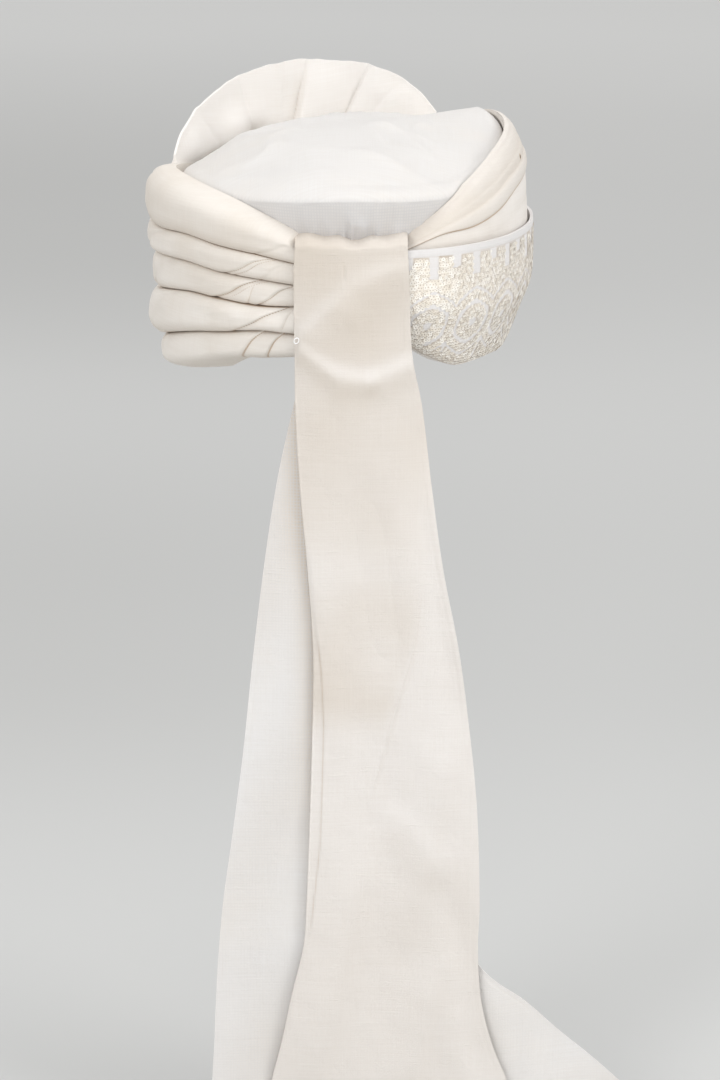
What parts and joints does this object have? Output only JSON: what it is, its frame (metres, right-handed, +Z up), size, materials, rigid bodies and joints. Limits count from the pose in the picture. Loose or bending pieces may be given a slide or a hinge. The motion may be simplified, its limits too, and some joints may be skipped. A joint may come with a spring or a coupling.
{
  "type": "tied turban pagri",
  "caption": "Ready-tied wedding turban: padded twisted rolls and folded wraps round a domed cap, a sequinned band, a pleated fan crest and two long hanging tails.",
  "frame": {"origin": "centre of the head opening, at the height of the inner cap's lower rim plane at the sides of the head", "axes": "+Z up, the wearer looks along +Y, +X is the wearer's right, and the tails hang down at the back on -Y"},
  "size_m": [0.3577, 0.2994, 0.7229],
  "materials": {
    "cap": "plain matt white cloth",
    "roll_1": "matt woven silk blend",
    "roll_2": "matt woven silk blend",
    "roll_3": "matt woven silk blend",
    "roll_4": "matt woven silk blend",
    "roll_5": "matt woven silk blend",
    "wrap_lower": "matt woven silk blend",
    "wrap_upper": "matt woven silk blend",
    "sequin_band": "white cloth covered with small cream sequins",
    "crest": "matt woven silk blend",
    "front_sash": "matt woven silk blend",
    "tail_outer": "matt woven silk blend",
    "tail_under": "thin matt white cloth",
    "pin_loop": "white painted wire"
  },
  "bodies": {
    "root": {"cap": "cap", "roll_1": "roll_1", "roll_2": "roll_2", "roll_3": "roll_3", "roll_4": "roll_4", "roll_5": "roll_5", "wrap_lower": "wrap_lower", "wrap_upper": "wrap_upper", "sequin_band": "sequin_band", "crest": "crest", "front_sash": "front_sash", "tail_outer": "tail_outer", "tail_under": "tail_under", "pin_loop": "pin_loop"}
  },
  "joints": []
}
